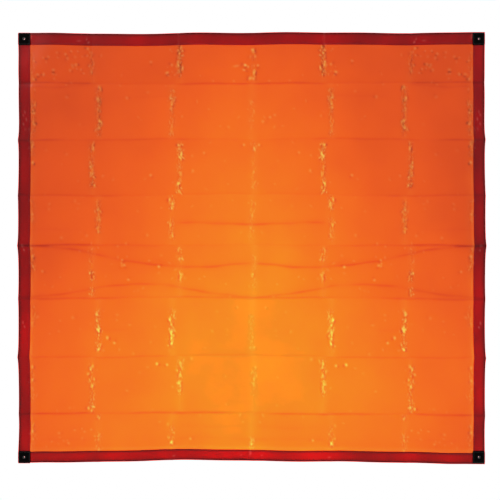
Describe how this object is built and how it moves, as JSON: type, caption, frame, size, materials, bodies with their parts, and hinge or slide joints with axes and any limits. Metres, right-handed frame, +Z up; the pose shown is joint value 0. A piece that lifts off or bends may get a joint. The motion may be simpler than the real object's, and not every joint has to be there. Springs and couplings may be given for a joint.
{
  "type": "welding curtain",
  "caption": "Translucent orange vinyl welding curtain with red hems, black corner patches and eyelets, folding along its packing creases.",
  "frame": {"origin": "midway between the centres of the two top eyelets, in the middle of the sheet's thickness", "axes": "+X to the right as seen from the front, +Y to the back, +Z up; the curtain hangs down in -Z"},
  "size_m": [1.8, 0.0099, 1.66],
  "materials": {
    "film_orange": "glossy translucent film",
    "film_red": "glossy translucent film, three layers",
    "webbing_black": "matte woven",
    "eyelet_metal": "dark semi-gloss"
  },
  "bodies": {
    "row_1": {"sheet_row_1": "film_orange", "left_hem_row_1": "film_red", "right_hem_row_1": "film_red", "top_hem": "film_red", "patch_top_left_front": "webbing_black", "patch_top_left_back": "webbing_black", "eyelet_top_left": "eyelet_metal", "washer_top_left": "eyelet_metal", "patch_top_right_front": "webbing_black", "patch_top_right_back": "webbing_black", "eyelet_top_right": "eyelet_metal", "washer_top_right": "eyelet_metal"},
    "row_2": {"sheet_row_2": "film_orange", "left_hem_row_2": "film_red", "right_hem_row_2": "film_red"},
    "row_3": {"sheet_row_3": "film_orange", "left_hem_row_3": "film_red", "right_hem_row_3": "film_red"},
    "row_4": {"sheet_row_4": "film_orange", "left_hem_row_4": "film_red", "right_hem_row_4": "film_red"},
    "row_5": {"sheet_row_5": "film_orange", "left_hem_row_5": "film_red", "right_hem_row_5": "film_red"},
    "row_6": {"sheet_row_6": "film_orange", "left_hem_row_6": "film_red", "right_hem_row_6": "film_red"},
    "row_7": {"sheet_row_7": "film_orange", "left_hem_row_7": "film_red", "right_hem_row_7": "film_red"},
    "row_8": {"sheet_row_8": "film_orange", "left_hem_row_8": "film_red", "right_hem_row_8": "film_red", "bottom_hem": "film_red", "patch_bottom_left_front": "webbing_black", "patch_bottom_left_back": "webbing_black", "eyelet_bottom_left": "eyelet_metal", "washer_bottom_left": "eyelet_metal", "patch_bottom_right_front": "webbing_black", "patch_bottom_right_back": "webbing_black", "eyelet_bottom_right": "eyelet_metal", "washer_bottom_right": "eyelet_metal"}
  },
  "joints": [
    {"name": "crease_1", "type": "hinge", "parent": "row_1", "child": "row_2", "pos_m": [0, 0, -0.17], "axis": [1, 0, 0], "range_deg": [-160, 160]},
    {"name": "crease_2", "type": "hinge", "parent": "row_2", "child": "row_3", "pos_m": [0, 0, -0.388], "axis": [-1, 0, 0], "range_deg": [-160, 160]},
    {"name": "crease_3", "type": "hinge", "parent": "row_3", "child": "row_4", "pos_m": [0, 0, -0.603], "axis": [1, 0, 0], "range_deg": [-160, 160]},
    {"name": "crease_4", "type": "hinge", "parent": "row_4", "child": "row_5", "pos_m": [0, 0, -0.797], "axis": [-1, 0, 0], "range_deg": [-160, 160]},
    {"name": "crease_5", "type": "hinge", "parent": "row_5", "child": "row_6", "pos_m": [0, 0, -1.002], "axis": [1, 0, 0], "range_deg": [-160, 160]},
    {"name": "crease_6", "type": "hinge", "parent": "row_6", "child": "row_7", "pos_m": [0, 0, -1.228], "axis": [-1, 0, 0], "range_deg": [-160, 160]},
    {"name": "crease_7", "type": "hinge", "parent": "row_7", "child": "row_8", "pos_m": [0, 0, -1.45], "axis": [1, 0, 0], "range_deg": [-160, 160]}
  ]
}
